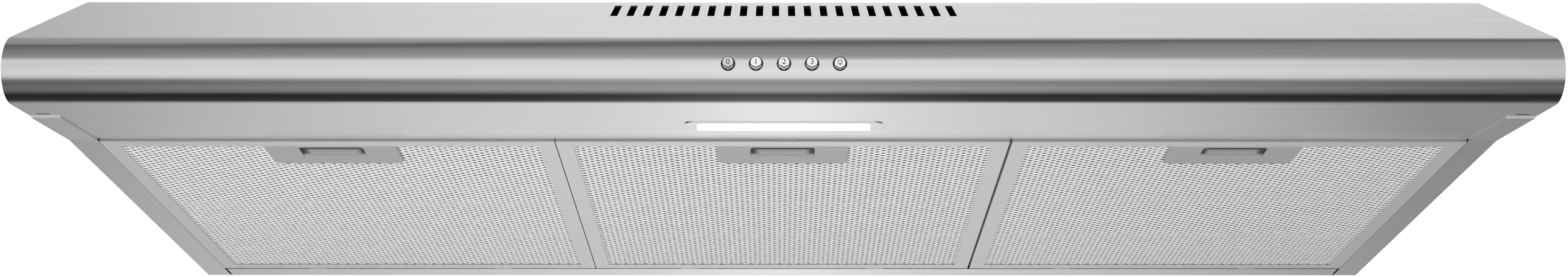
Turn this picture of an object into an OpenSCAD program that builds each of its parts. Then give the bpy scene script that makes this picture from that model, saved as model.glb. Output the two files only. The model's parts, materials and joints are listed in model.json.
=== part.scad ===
// Slim under-cabinet range hood: bull-nosed canopy, three drop-down mesh filters, twin-wheel blower.
// Millimetres, +X right, +Y to the wall, +Z up. Z = 0 is the outer face of the flat top.
// X = 0, Y = 0 is the centre of the four cabinet screws.

/* [Overall] */
// Width over the side panels
body_w = 900; // [700:5:1100]
// Depth from the nose to the wall
body_d = 480; // [400:1:580]
// Height at the wall
rear_h = 135.3; // [108:0.1:165]
// Height of the lamp panel below the flat top
front_h = 93.8; // [78:0.1:113]
// Radius of the bull nose
nose_r = 20; // [16:0.5:24]
// Angle of the visor above the nose, degrees
visor_angle = 22.3; // [18.5:0.1:26.8]
// Distance from the nose to the rear edge of the lamp panel
panel_d = 128; // [114:0.5:154]
// Thickness of the sheet steel
sheet = 0.8; // [0.6:0.05:1]

/* [Edges and flanges] */
// Width of the flanges under the side panels
side_flange = 17.5; // [14:0.5:22]
// Width of the flange under the rear panel
rear_flange = 20; // [16:0.5:26]
// Distance from the nose to the front of the side flanges
flange_start = 56; // [46:0.5:70]
// Height of the upturned lip behind the lamp panel
lip_h = 12; // [10:0.5:16]

/* [Vent slots] */
// Number of slots in the visor
slot_n = 22; // [16:1:26]
// Width of a slot
slot_w = 4.5; // [3.5:0.1:5]
// Distance from slot to slot
slot_pitch = 10.05; // [9:0.05:12]
// Length of a slot
slot_l = 46; // [38:0.5:55.5]
// Distance from the visor's top edge to the slots
slot_top = 14.5; // [12:0.5:17.5]

/* [Buttons] */
// Distance from button to button
button_pitch = 16.1; // [13:0.1:20]
// Radius of a button cap
button_r = 3.5; // [2.8:0.1:4.2]
// Gap around a button cap
button_gap = 0.7; // [0.4:0.05:0.9]
// How far a released cap stands out of the nose
button_out = 4.5; // [3.6:0.1:5.4]
// Travel of a button
button_travel = 3; // [2.4:0.1:3.6]
// How far the light button is latched in
button_latched = 2; // [1.6:0.1:2.4]

/* [Lamp] */
// Half width of the lamp bezel
bezel_hw = 60.3; // [50:0.1:72]
// Front edge of the bezel, from the nose
bezel_y0 = 71; // [64:0.5:78]
// Depth of the bezel
bezel_d = 38; // [32:0.5:46]
// Half width of the lens
lens_hw = 53; // [44:0.5:58]
// Depth of the lens
lens_d = 21; // [17:0.1:25.5]

/* [Filters] */
// Thickness of a filter
filter_t = 9; // [7.5:0.1:10.8]
// Gap between lamp panel and filters
filter_gap = 2.8; // [2.6:0.1:3.4]
// Gap between filters and rear flange
hinge_gap = 2; // [1.6:0.1:2.4]
// Gap left for each filter between its neighbours
filter_play = 1.2; // [1:0.1:1.5]
// Sideways rest position of the centre filter in that play
centre_shift = -0.5; // [-0.8:0.1:0.8]
// Width of the border of a filter frame
border = 10.5; // [8.5:0.5:13]
// Half width of the handle plate
handle_hw = 42; // [34:0.5:50]
// Depth of the handle plate
handle_d = 36; // [34:0.5:44]
// Half width of the finger pull
pull_hw = 20.5; // [17:0.5:24]
// Depth of the finger pull
pull_d = 19; // [16:0.5:22]
// Travel of the latch slide
latch_travel = 4; // [3.4:0.1:4.8]

/* [Mounting] */
// Distance between the cabinet screws, left to right
screw_x = 640; // [520:1:760]
// Distance between the cabinet screws, front to back
screw_y = 240; // [200:1:270]
// Radius of a cabinet screw hole
screw_r = 3; // [2.5:0.1:3.5]
// Distance from the nose to the centre of the screw pattern
pattern_y = 300; // [280:1:350]
// Outer radius of the duct collar
collar_r = 75; // [62.5:0.5:82]
// Height of the duct collar above the top
collar_h = 22; // [18:0.5:27]
// Distance from the wall to the collar's axis
collar_back = 148; // [130:1:170]
// Radius of the cable inlet
inlet_r = 6; // [5:0.1:7.2]

/* [Blower] */
// Height of the outlet box above the scrolls
plenum_h = 18; // [15:0.5:21.6]
// Gap between fan wheel and scroll
wheel_gap = 11; // [9:0.5:13]
// Width of a fan wheel
wheel_w = 37; // [31:0.5:40]
// Blades in a fan wheel
blade_n = 24; // [16:1:30]
// Radius of the motor shaft
shaft_r = 4; // [3.3:0.1:4.8]

/* [Hidden] */
$fn = 64;
// running clearance of a shaft or pin in its hole, and of a slide
run = 0.05;
slide_gap = 0.1;
wall = 1.2;
hair = 0.03;
slope = atan((rear_h - sheet - front_h) / (body_d - panel_d));
visor_y = nose_r - nose_r * sin(visor_angle)
  + (front_h - nose_r - nose_r * cos(visor_angle)) / tan(visor_angle);
nose_z = -front_h + nose_r;
in_w = body_w - 2 * sheet;
open_l = (body_d - panel_d) / cos(slope);
hinge_v = open_l - rear_flange;
filter_l = hinge_v - hinge_gap - filter_gap;
open_w = body_w - 2 * side_flange;
filter_pitch = (open_w + filter_play / 2) / 3;
filter_w = filter_pitch - filter_play;
skin = 0.6;
// the filter hinge's axis lies this far above the rear flange
knuckle_w = 0.2;
visor_l = visor_y / cos(visor_angle);
vent_hw = (slot_n - 1) * slot_pitch / 2 + slot_w / 2;
shutter_hw = vent_hw + 6;
shutter_travel = slot_pitch / 2;
duct_hw = shutter_hw + shutter_travel + 0.7;
bl_y = body_d - collar_back;
box_hw = collar_r + 3;
filter_top_z = -front_h - (bl_y - panel_d) * tan(slope) + filter_t / cos(slope);
scroll_r = (-filter_top_z - sheet - plenum_h - 5) / 2;
scroll_z = -sheet - plenum_h - scroll_r;
wheel_r = scroll_r - wheel_gap;
motor_hw = 24;
part_x = motor_hw + 3;
cheek_x = part_x + wheel_w + 6;
axle_y = bl_y - 4;
axle_z = scroll_z;
stem_r = 2;
switch_y = 9;
brace_t = 1.5;
lens_y = bezel_y0 + 4.4;
lamp_z = -front_h;
inlet_x = screw_x / 2 - 60;
inlet_y = body_d - 60;
term_x = inlet_x - 62;

steel = [0.72, 0.73, 0.74];
alu = [0.82, 0.83, 0.84];
zinc = [0.62, 0.64, 0.66];
black = [0.08, 0.08, 0.09];
white = [0.93, 0.93, 0.9];
spring_steel = [0.45, 0.46, 0.48];

// frames of reference
module place() { translate([0, -pattern_y, 0]) children(); }
module along_x(w) { rotate([90, 0, 90]) linear_extrude(w, center = true) children(); }
module on_opening() { translate([0, panel_d, -front_h]) rotate([-slope, 0, 0]) children(); }
module on_visor() { translate([0, visor_y, 0]) rotate([visor_angle, 0, 0]) children(); }
module in_filter(i) {
  place() on_opening()
    translate([(i - 2) * filter_pitch + (i == 2 ? centre_shift : 0), filter_gap, -sheet]) children();
}
module box(lo, hi) { translate(lo) cube([hi[0] - lo[0], hi[1] - lo[1], hi[2] - lo[2]]); }
module rod_x(r, l) { rotate([0, 90, 0]) cylinder(r = r, h = l, center = true); }
module both_sides() { for (s = [-1, 1]) translate([0, 0, 0]) mirror([s < 0 ? 1 : 0, 0, 0]) children(); }

// outline of the hood seen from the side, and the same less one sheet;
// the straight faces lie a hair inside the nose's round, so that they cross it cleanly
module outer_profile() {
  c = [nose_r, nose_z];
  u = [-sin(visor_angle), cos(visor_angle)];
  translate(c) circle(nose_r);
  polygon([
    c + (nose_r - hair) * u, [visor_y + hair, 0], [body_d, 0], [body_d, -rear_h + sheet],
    [panel_d, -front_h + hair], [nose_r, -front_h + hair], c
  ]);
}
module inner_profile() {
  r = nose_r - sheet;
  translate([nose_r, nose_z]) circle(r);
  polygon([
    [nose_r - r * sin(visor_angle), nose_z + r * cos(visor_angle)],
    [visor_y + sheet * tan(visor_angle / 2), -sheet], [body_d + 1, -sheet],
    [body_d + 1, -front_h + sheet], [nose_r, -front_h + sheet], [nose_r, nose_z]
  ]);
}

// section of the folded sheet: the nose, and the flat parts that run a little way into it
module nose_section() {
  c = [nose_r, nose_z];
  u = [-sin(visor_angle), cos(visor_angle)];
  far = 3 * nose_r;
  intersection() {
    translate(c) difference() { circle(nose_r); circle(nose_r - sheet); }
    polygon([c, c + far * u, c + [-far, far], c + [-far, -far], c + [0, -far]]);
  }
}
module flat_section() {
  c = [nose_r, nose_z];
  u = [-sin(visor_angle), cos(visor_angle)];
  t = [cos(visor_angle), sin(visor_angle)];
  bend = [visor_y + sheet * tan(visor_angle / 2), -sheet];
  polygon([c + (nose_r - hair) * u - t, [visor_y + hair, 0], [body_d, 0], [body_d, -sheet], bend,
    c + (nose_r - sheet + hair) * u - t]);
}
module lamp_section() {
  translate([nose_r - 1, -front_h + hair]) square([panel_d - nose_r + 1, sheet - 2 * hair]);
  translate([panel_d - sheet, -front_h + hair]) square([sheet, lip_h - hair]);
}

function rivet_y(k) = visor_y + 30 + k * (body_d - visor_y - 60) / 3;
module rivet_spots() {
  for (s = [-1, 1]) for (k = [0:3]) translate([s * (in_w / 2 - 7), rivet_y(k), 0]) children();
  for (k = [-2:2]) if (k != 0) translate([k * in_w / 6, body_d - sheet - 7, 0]) children();
}
module screw_spots() {
  for (x = [-1, 1]) for (y = [-1, 1])
    translate([x * screw_x / 2, pattern_y + y * screw_y / 2, 0]) children();
}
module slot_row() {
  for (k = [0:slot_n - 1])
    translate([(k - (slot_n - 1) / 2) * slot_pitch - slot_w / 2, -slot_top - slot_l, -5])
      cube([slot_w, slot_l, 10]);
}

module canopy_shell() {
  color(steel) place() difference() {
    union() {
      along_x(in_w) nose_section();
      along_x(in_w) flat_section();
      along_x(in_w) lamp_section();
    }
    on_visor() slot_row();
    for (k = [-2:2]) translate([k * button_pitch, -1, nose_z]) rotate([-90, 0, 0])
      cylinder(r = button_r + button_gap, h = 6);
    box([-lens_hw - 3, lens_y - 2, lamp_z - 1], [lens_hw + 3, lens_y + lens_d + 2, lamp_z + 2]);
    for (s = [-1, 1]) box([s * (in_w / 2 - 9) - 4, flange_start - 9, lamp_z - 1],
      [s * (in_w / 2 - 9) + 4, flange_start - 7, lamp_z + 2]);
    translate([0, bl_y, -3]) cylinder(r = collar_r - wall, h = 6, $fn = 96);
    translate([inlet_x, inlet_y, -3]) cylinder(r = inlet_r + 3, h = 6);
    screw_spots() translate([0, 0, -3]) cylinder(r = screw_r, h = 6);
    rivet_spots() translate([0, 0, -3]) cylinder(r = 1.6, h = 6);
  }
}

module side_right() {
  difference() {
    union() {
      translate([in_w / 2 + sheet / 2, 0, 0]) along_x(sheet) {
        outer_profile();
        translate([flange_start, -front_h - sheet]) square([panel_d - flange_start, sheet + 1]);
        translate([panel_d, -front_h]) rotate(-slope) translate([-0.1, -sheet])
          square([open_l + 0.1 - sheet * tan(slope), sheet + 1]);
      }
      box([body_w / 2 - side_flange, flange_start, -front_h - sheet],
        [body_w / 2 - sheet / 2, panel_d, -front_h]);
      on_opening() box([body_w / 2 - side_flange, 0, -sheet],
        [body_w / 2 - sheet / 2, open_l - sheet / cos(slope), 0]);
      box([in_w / 2 - 14, visor_y + 12, -2 * sheet], [in_w / 2 + sheet / 2, body_d - 16, -sheet]);
    }
    rivet_spots() translate([0, 0, -3]) cylinder(r = 1.6, h = 6);
  }
}
module side_panel_left() { color(steel) place() mirror([1, 0, 0]) side_right(); }
module side_panel_right() { color(steel) place() side_right(); }

module rear_panel() {
  color(steel) place() difference() {
    union() {
      along_x(in_w)
        translate([body_d - sheet, -rear_h + sheet * (1 - cos(slope))])
          square([sheet, rear_h - sheet * (2 - cos(slope))]);
      along_x(2 * (in_w / 2 - 16)) translate([body_d - 15, -2 * sheet]) square([15 - sheet / 2, sheet]);
      along_x(open_w - 3) translate([panel_d, -front_h]) rotate(-slope)
        translate([hinge_v, -sheet]) square([rear_flange - sheet / 2, sheet]);
    }
    rivet_spots() translate([0, 0, -3]) cylinder(r = 1.6, h = 6);
  }
}

module brace() {
  difference() {
    box([screw_x / 2 - 20, visor_y + 10, -sheet - brace_t], [screw_x / 2 + 20, body_d - 18, -sheet]);
    screw_spots() translate([0, 0, -6]) cylinder(r = screw_r, h = 9);
    for (y = [-60, 0, 60]) translate([screw_x / 2, pattern_y + y, -6]) cylinder(r = 9, h = 9);
  }
}
module brace_left() { color(zinc) place() mirror([1, 0, 0]) brace(); }
module brace_right() { color(zinc) place() brace(); }

module rivets() {
  color(zinc) place() rivet_spots() {
    translate([0, 0, -2 * sheet - 1]) cylinder(r = 1.6, h = 2 * sheet + 1.1);
    cylinder(r = 3, h = 0.9);
    translate([0, 0, -2 * sheet - 1.2]) cylinder(r = 2.4, h = 1.2);
  }
}

// lamp
module rounded_front(hw, d, r) {
  translate([-hw, r]) square([2 * hw, d - r]);
  translate([-hw + r, 0]) square([2 * (hw - r), r + 1]);
  for (s = [-1, 1]) translate([s * (hw - r), r]) circle(r);
}
module lamp_bezel() {
  t = 0.5;
  color(steel) place() difference() {
    union() {
      translate([0, bezel_y0, lamp_z - t]) linear_extrude(t) rounded_front(bezel_hw, bezel_d, 6);
      box([-lens_hw - 2.5, lens_y - 1.5, lamp_z - t], [lens_hw + 2.5, lens_y + lens_d + 1.5, lamp_z + 4]);
    }
    translate([0, lens_y, lamp_z - 3]) linear_extrude(12) rounded_front(lens_hw, lens_d, 4);
  }
}
module lamp_lens() {
  color([1, 1, 0.97, 0.6]) place() difference() {
    translate([0, lens_y, lamp_z - 0.3]) linear_extrude(3.5) rounded_front(lens_hw, lens_d, 4);
    translate([0, lens_y + 1.5, lamp_z + 1.2]) linear_extrude(4) rounded_front(lens_hw - 1.5, lens_d - 3, 3);
  }
}
module lamp_housing() {
  color(zinc) place() difference() {
    union() {
      box([-lens_hw - 5, lens_y - 4, lamp_z + sheet], [lens_hw + 5, lens_y + lens_d + 4, lamp_z + 13]);
      for (s = [-1, 1]) box([s * (lens_hw + 9) - 5, lens_y + 3, lamp_z + sheet],
        [s * (lens_hw + 9) + 5, lens_y + lens_d - 3, lamp_z + sheet + 1]);
    }
    box([-lens_hw - 4, lens_y - 3, lamp_z], [lens_hw + 4, lens_y + lens_d + 3, lamp_z + 12]);
    for (s = [-1, 1]) translate([s * (lens_hw + 10), lens_y + lens_d / 2, lamp_z]) cylinder(r = 1.7, h = 5);
  }
}
module led_board() {
  color(white) place() {
    box([-lens_hw, lens_y, lamp_z + 10.4], [lens_hw, lens_y + lens_d, lamp_z + 12]);
    for (k = [-4:4]) box([k * 11.5 - 1.75, lens_y + lens_d / 2 - 1.75, lamp_z + 9.6],
      [k * 11.5 + 1.75, lens_y + lens_d / 2 + 1.75, lamp_z + 10.5]);
  }
}
module led_driver() {
  color(white) place() {
    box([86, lens_y - 8, lamp_z + sheet], [156, lens_y + 26, lamp_z + 17]);
    box([80, lens_y + 2, lamp_z + sheet], [162, lens_y + 16, lamp_z + sheet + 2]);
  }
}

// five-button switch behind the nose
module switch_body() {
  color(black) place() difference() {
    box([-2.5 * button_pitch - 3, switch_y, nose_z - 8], [2.5 * button_pitch + 3, switch_y + 24, nose_z + 8]);
    for (k = [-2:2]) translate([k * button_pitch, switch_y - 1, nose_z]) rotate([-90, 0, 0])
      cylinder(r = stem_r + run, h = 22);
    for (k = [-1.5:1:1.5]) box([k * button_pitch - 0.6, switch_y - 1, nose_z - 9],
      [k * button_pitch + 0.6, switch_y + 3, nose_z + 9]);
  }
}
module switch_bracket() {
  color(zinc) place() {
    box([-2 * button_pitch, nose_r + 1, lamp_z + sheet], [2 * button_pitch, nose_r + 2.2, nose_z - 8]);
    box([-2 * button_pitch, nose_r + 1, lamp_z + sheet],
      [2 * button_pitch, switch_y + 34, lamp_z + sheet + 1.2]);
    box([-2 * button_pitch, switch_y + 24, lamp_z + sheet], [2 * button_pitch, switch_y + 25.2, nose_z]);
  }
}
module button(k, depth) {
  color(zinc) place() translate([k * button_pitch, depth - button_out, nose_z]) rotate([-90, 0, 0])
    difference() {
      union() {
        translate([0, 0, 0.6]) cylinder(r = button_r, h = button_out + 2.6);
        cylinder(r1 = button_r - 0.6, r2 = button_r, h = 0.6);
        cylinder(r = stem_r, h = button_out + switch_y + 14);
      }
      translate([0, 0, -0.3]) difference() {
        cylinder(r = button_r - 1, h = 0.5);
        cylinder(r = button_r - 1.4, h = 0.5);
      }
    }
}
module button_0() { button(-2, 0); }
module button_1() { button(-1, 0); }
module button_2() { button(0, 0); }
module button_3() { button(1, 0); }
module button_light() { button(2, button_latched); }

// filters, drawn from their front lower edge
pocket_d = border + pull_d + 16;
module filter_frame(i) {
  color(alu) in_filter(i) {
    difference() {
      box([-filter_w / 2, 0, 0], [filter_w / 2, filter_l, filter_t]);
      box([-filter_w / 2 + skin, skin, skin], [filter_w / 2 - skin, filter_l - skin, filter_t - skin]);
      box([-filter_w / 2 + border, border, -1], [filter_w / 2 - border, filter_l - border, filter_t + 1]);
      box([-8.4, -1, sheet + 1.9], [8.4, 2, sheet + 5.6]);
    }
    for (s = [-1, 1]) {
      box([s * filter_w / 4 - 7, filter_l - skin, sheet + 0.15],
        [s * filter_w / 4 + 7, filter_l + hinge_gap + 8, sheet + 1.15]);
      translate([s * filter_w / 4, filter_l + 0.55 * hinge_gap, sheet + knuckle_w])
        rod_x(0.4 * hinge_gap, 13);
    }
  }
}
module filter_frame_1() { filter_frame(1); }
module filter_frame_2() { filter_frame(2); }
module filter_frame_3() { filter_frame(3); }

module filter_mesh(i) {
  pleat = 9;
  y0 = border + handle_d + 4;
  n = floor((filter_l - border - 4 - y0) / pleat);
  color(alu) in_filter(i) difference() {
    box([-filter_w / 2 + skin, skin, skin], [filter_w / 2 - skin, filter_l - skin, filter_t - skin]);
    box([-26, 0, 0], [26, pocket_d, filter_t - skin - 0.8]);
    for (k = [0:n - 1]) box([-filter_w / 2 + border + 3, y0 + k * pleat, 0],
      [filter_w / 2 - border - 3, y0 + k * pleat + pleat / 2, skin + 0.8]);
  }
}
module filter_mesh_1() { filter_mesh(1); }
module filter_mesh_2() { filter_mesh(2); }
module filter_mesh_3() { filter_mesh(3); }

module handle_plate(i) {
  r = 6;
  color(zinc) in_filter(i) difference() {
    translate([0, 0, -0.4]) linear_extrude(skin + 0.4) {
      translate([-handle_hw, border]) square([2 * handle_hw, handle_d - r]);
      translate([-handle_hw + r, border]) square([2 * (handle_hw - r), handle_d]);
      for (s = [-1, 1]) translate([s * (handle_hw - r), border + handle_d - r]) circle(r);
    }
    box([-pull_hw, border + 0.8, -1], [pull_hw, border + 0.8 + pull_d, 2]);
  }
}
module handle_plate_1() { handle_plate(1); }
module handle_plate_2() { handle_plate(2); }
module handle_plate_3() { handle_plate(3); }

// sliding latch: bolt at the front, finger scoop under it
module latch_slide(i) {
  low = skin + slide_gap;
  high = filter_t - skin - 0.8 - slide_gap;
  scoop = border + 1;
  color(zinc) in_filter(i) difference() {
    union() {
      box([-pull_hw - 3, skin + slide_gap, low], [pull_hw + 3, border + pull_d + 5, high]);
      box([-8, 1 - filter_gap, sheet + 2.2], [8, 4, sheet + 5.2]);
    }
    along_x(2 * pull_hw - 1)
      polygon([[scoop, low - 1], [scoop, high - 1], [scoop + 2, high - 1], [scoop + pull_d - 1.4, low],
        [scoop + pull_d - 1.4, low - 1]]);
  }
}
module latch_slide_1() { latch_slide(1); }
module latch_slide_2() { latch_slide(2); }
module latch_slide_3() { latch_slide(3); }

module latch_spring(i) {
  y0 = border + pull_d + 5;
  rise = pocket_d - y0;
  r = 25;
  color(spring_steel) in_filter(i) translate([0, 0, 2.4]) linear_extrude(3) intersection() {
    translate([0, y0 + 0.05 + r]) difference() { circle(r); circle(r - 0.6); }
    translate([-r, y0]) square([2 * r, rise - 0.05]);
  }
}
module latch_spring_1() { latch_spring(1); }
module latch_spring_2() { latch_spring(2); }
module latch_spring_3() { latch_spring(3); }

module strike(i) {
  color(spring_steel) place() translate([(i - 2) * filter_pitch + (i == 2 ? centre_shift : 0), 0, 0])
    along_x(18) translate([panel_d, -front_h]) polygon([[0, 1.2], [2.2, 1.2], [2.2, 1.8],
      [skin, 1.8], [skin, lip_h - 0.5], [0, lip_h - 0.5]]);
}
module strike_1() { strike(1); }
module strike_2() { strike(2); }
module strike_3() { strike(3); }

// duct collar with its two back-draught flaps
flap_z = 4.5;
flap_y = 3;
pin_r = 1.5;
module duct_collar() {
  ri = collar_r - wall;
  color(zinc) place() translate([0, bl_y, 0]) difference() {
    union() {
      difference() {
        union() {
          cylinder(r = collar_r, h = collar_h, $fn = 96);
          cylinder(r = collar_r + 10, h = 1, $fn = 96);
        }
        translate([0, 0, -1]) cylinder(r = ri, h = collar_h + 2, $fn = 96);
      }
      difference() {
        cylinder(r = ri + 0.2, h = flap_z - 0.6, $fn = 96);
        translate([0, 0, -1]) cylinder(r = ri - 5, h = flap_z + 2, $fn = 96);
      }
      box([-ri - 0.2, -1.2, 0], [ri + 0.2, 1.2, flap_z + 2]);
    }
    for (s = [-1, 1]) translate([0, s * flap_y, flap_z]) rod_x(pin_r + run, 2 * collar_r + 10);
    for (a = [45:90:315]) rotate([0, 0, a]) translate([collar_r + 5, 0, -1]) cylinder(r = 1.7, h = 4);
  }
}
module damper() {
  ri = collar_r - wall;
  color(zinc) place() translate([0, bl_y, 0]) {
    translate([0, flap_y, flap_z]) rod_x(pin_r, 2 * collar_r - 0.2);
    intersection() {
      translate([0, 0, flap_z - 0.5]) cylinder(r = ri - 1.6, h = 1, $fn = 96);
      box([-ri, flap_y, flap_z - 1], [ri, ri, flap_z + 1]);
    }
  }
}
module damper_rear() { damper(); }
module damper_front() { translate([0, 2 * (bl_y - pattern_y), 0]) mirror([0, 1, 0]) damper(); }

// hit-and-miss shutter under the vent slots
module vent_shutter() {
  z0 = -sheet - slide_gap - 0.8;
  color(zinc) place() on_visor() {
    difference() {
      box([-shutter_hw, -slot_top - slot_l - 4, z0], [shutter_hw, -slot_top + 4, z0 + 0.8]);
      slot_row();
    }
    box([shutter_hw - 1, -slot_top - slot_l / 2 - 3, z0], [duct_hw + 18, -slot_top - slot_l / 2 + 3, z0 + 0.8]);
    box([duct_hw + 15, -slot_top - slot_l / 2 - 3, z0 - 14],
      [duct_hw + 18, -slot_top - slot_l / 2 + 3, z0 + 0.8]);
  }
}
module shutter_rails() {
  z1 = -sheet - 2 * slide_gap - 0.8;
  color(zinc) place() on_visor() for (e = [[-slot_top - slot_l - 4, -1], [-slot_top + 4, 1]]) {
    box([-duct_hw + 1, min(e[0] - e[1] * 2, e[0] + e[1] * 3), z1 - 0.8],
      [duct_hw - 1, max(e[0] - e[1] * 2, e[0] + e[1] * 3), z1]);
    box([-duct_hw + 1, min(e[0] + e[1] * 0.3, e[0] + e[1] * 3), z1 - 0.8],
      [duct_hw - 1, max(e[0] + e[1] * 0.3, e[0] + e[1] * 3), -sheet]);
  }
}

// sheet-metal duct from the blower's outlet box to the vent slots
module recirculation_duct() {
  y0 = visor_y - (slot_top + slot_l + 10) * cos(visor_angle);
  y1 = bl_y - box_hw;
  zf = -sheet - plenum_h;
  zn = zf - 20;
  color(zinc) place() difference() {
    along_x(2 * duct_hw + 2 * sheet) intersection() {
      inner_profile();
      polygon([[y0, 5], [y0, zn], [visor_y, zf], [y1, zf], [y1, 5]]);
    }
    along_x(2 * duct_hw) polygon([[y0 + sheet, 5], [y0 + sheet, zn + sheet], [visor_y, zf + sheet],
      [y1 - sheet, zf + sheet], [y1 - sheet, 5]]);
    box([-box_hw + 8, y1 - 2, zf + 3], [box_hw - 8, y1 + 1, -sheet - 2]);
    on_visor() box([duct_hw - 2, -slot_top - slot_l / 2 - 3.6, -sheet - slide_gap - 1.5],
      [duct_hw + 3, -slot_top - slot_l / 2 + 3.6, -sheet]);
  }
}

// blower: outlet box and two scrolls, split level with the shaft
module scroll_profile(r) { translate([bl_y, scroll_z]) circle(r, $fn = 96); }
module blower_outside() {
  along_x(2 * cheek_x) scroll_profile(scroll_r);
  box([-cheek_x, bl_y, scroll_z], [cheek_x, bl_y + scroll_r, -sheet - plenum_h + 1]);
  box([-box_hw, bl_y - box_hw, -sheet - plenum_h], [box_hw, bl_y + box_hw, -sheet]);
  for (s = [-1, 1]) box([s * (box_hw + 5) - 6, bl_y - box_hw + 20, -sheet - 1],
    [s * (box_hw + 5) + 6, bl_y + box_hw - 20, -sheet]);
}
module blower_inside() {
  for (s = [-1, 1]) translate([s * (part_x + cheek_x) / 2, 0, 0]) {
    along_x(cheek_x - part_x - 2 * wall) scroll_profile(scroll_r - wall);
    box([-(cheek_x - part_x) / 2 + wall, bl_y + 6, scroll_z],
      [(cheek_x - part_x) / 2 - wall, bl_y + scroll_r - wall, -sheet - plenum_h + 4]);
  }
  along_x(2 * part_x - 2 * wall) scroll_profile(scroll_r - wall);
  box([-box_hw + wall, bl_y - box_hw + wall, -sheet - plenum_h + wall],
    [box_hw - wall, bl_y + box_hw - wall, 1]);
  translate([0, axle_y, axle_z]) {
    rod_x(wheel_r - 6, 2 * cheek_x + 10);
    for (a = [60:30:120]) rotate([a + 180, 0, 0]) for (x = [-12, 0, 12])
      translate([x, 0, scroll_r]) cube([4, 12, 24], center = true);
  }
  box([-box_hw + 8, bl_y - box_hw - 1, -sheet - plenum_h + 3],
    [box_hw - 8, bl_y - box_hw + 2, -sheet - 2]);
}
module blower_partitions() {
  for (s = [-1, 1]) difference() {
    translate([s * part_x, 0, 0]) along_x(wall) scroll_profile(scroll_r - wall / 2);
    translate([0, axle_y, axle_z]) rod_x(shaft_r + 2, 2 * cheek_x);
  }
}
module blower_half(lo, hi) {
  intersection() {
    union() {
      difference() { blower_outside(); blower_inside(); }
      blower_partitions();
    }
    box([-box_hw - 20, bl_y - box_hw - 5, lo], [box_hw + 20, bl_y + box_hw + 5, hi]);
  }
}
module blower_top() {
  color(zinc) place() difference() {
    blower_half(axle_z, 0);
    blower_screw_spots() translate([0, 0, -4]) cylinder(r = 1.7, h = 6);
  }
}
module blower_bottom() { color(zinc) place() blower_half(axle_z - scroll_r - 5, axle_z); }
module inlet_rings() {
  color(black) place() for (s = [-1, 1]) translate([s * cheek_x, axle_y, axle_z]) rotate([0, s * 90, 0]) {
    difference() {
      rotate_extrude() translate([wheel_r - 8, 0]) square([8, 2]);
      translate([0, 0, -1]) cylinder(r = wheel_r - 7.4, h = 4);
    }
    for (r = [8:7:wheel_r - 8]) rotate_extrude() translate([r, 0.6]) square([1.2, 1.4]);
    for (a = [0:60:120]) rotate([0, 0, a]) translate([-wheel_r + 6.5, -0.9, 0])
      cube([2 * wheel_r - 13, 1.8, 2]);
  }
}
module blower_screw_spots() {
  for (s = [-1, 1]) for (y = [-1, 1])
    translate([s * (box_hw + 7), bl_y + y * (box_hw - 32), -sheet]) children();
}
module blower_screws() {
  color(zinc) place() {
    blower_screw_spots() {
      translate([0, 0, -1.05]) cylinder(r = 1.7, h = 1.05);
      translate([0, 0, -3.2]) cylinder(r = 3.4, h = 2.2);
    }
    translate([0, bl_y, 0]) for (a = [45:90:315]) rotate([0, 0, a]) translate([collar_r + 5, 0, 0]) {
      cylinder(r = 1.7, h = 1.5);
      difference() {
        translate([0, 0, 1]) cylinder(r = 3.2, h = 1.8);
        translate([-2.4, -0.4, 2.2]) cube([4.8, 0.8, 1]);
      }
    }
  }
}

// motor between the wheels
motor_r = scroll_r - 14;
module motor_housing() {
  color(zinc) place() translate([0, axle_y, axle_z]) difference() {
    union() {
      rod_x(motor_r, 2 * motor_hw - 6);
      rod_x(10, 2 * motor_hw);
    }
    rod_x(motor_r - 1.5, 2 * motor_hw - 10);
    rod_x(shaft_r + run, 2 * motor_hw + 4);
    for (a = [0:45:315]) rotate([a, 0, 0]) translate([0, 0, (motor_r + 10) / 2 + 1])
      cube([2 * motor_hw + 2, 4, motor_r - 15], center = true);
  }
}
module motor_stator() {
  color(black) place() translate([0, axle_y, axle_z]) difference() {
    rod_x(motor_r - 1.5, 22);
    rod_x(motor_r - 11.6, 24);
    for (a = [0:30:330]) rotate([a, 0, 0]) translate([0, 0, motor_r - 10]) cube([24, 2, 8], center = true);
  }
}
module motor_rotor() {
  color([0.6, 0.42, 0.2]) place() translate([0, axle_y, axle_z]) difference() {
    rod_x(motor_r - 12, 24);
    rod_x(shaft_r, 26);
  }
}
module motor_shaft() {
  color(zinc) place() translate([0, axle_y, axle_z]) rod_x(shaft_r, 2 * (part_x + wheel_w));
}
module motor_bracket() {
  color(zinc) place() difference() {
    for (s = [-1, 1]) translate([s * (motor_hw - 6), 0, 0]) along_x(1.5) scroll_profile(scroll_r - wall - 0.1);
    translate([0, axle_y, axle_z]) rod_x(motor_r, 60);
    for (a = [30:60:330]) translate([0, axle_y, axle_z]) rotate([a, 0, 0])
      translate([0, 0, motor_r + 4]) rod_x(3, 60);
  }
}
module fan_wheel(s) {
  x0 = part_x + 2;
  color(black) place() translate([0, axle_y, axle_z]) mirror([s < 0 ? 1 : 0, 0, 0]) translate([x0, 0, 0])
    rotate([0, 90, 0]) difference() {
      union() {
        cylinder(r = wheel_r, h = 1.5);
        cylinder(r = shaft_r + 4, h = 14);
        translate([0, 0, wheel_w - 3.5]) difference() {
          cylinder(r = wheel_r, h = 1.5);
          translate([0, 0, -1]) cylinder(r = wheel_r - 6, h = 4);
        }
        for (k = [0:blade_n - 1]) rotate([0, 0, k * 360 / blade_n]) translate([wheel_r - 6.2, 0, 0.5])
          rotate([0, 0, 32]) cube([6.4, 0.9, wheel_w - 3]);
      }
      translate([0, 0, -1]) cylinder(r = shaft_r, h = wheel_w);
      difference() {
        translate([0, 0, -1]) cylinder(r = wheel_r + 8, h = wheel_w + 4);
        translate([0, 0, -2]) cylinder(r = wheel_r, h = wheel_w + 6);
      }
    }
}
module fan_wheel_left() { fan_wheel(-1); }
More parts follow.
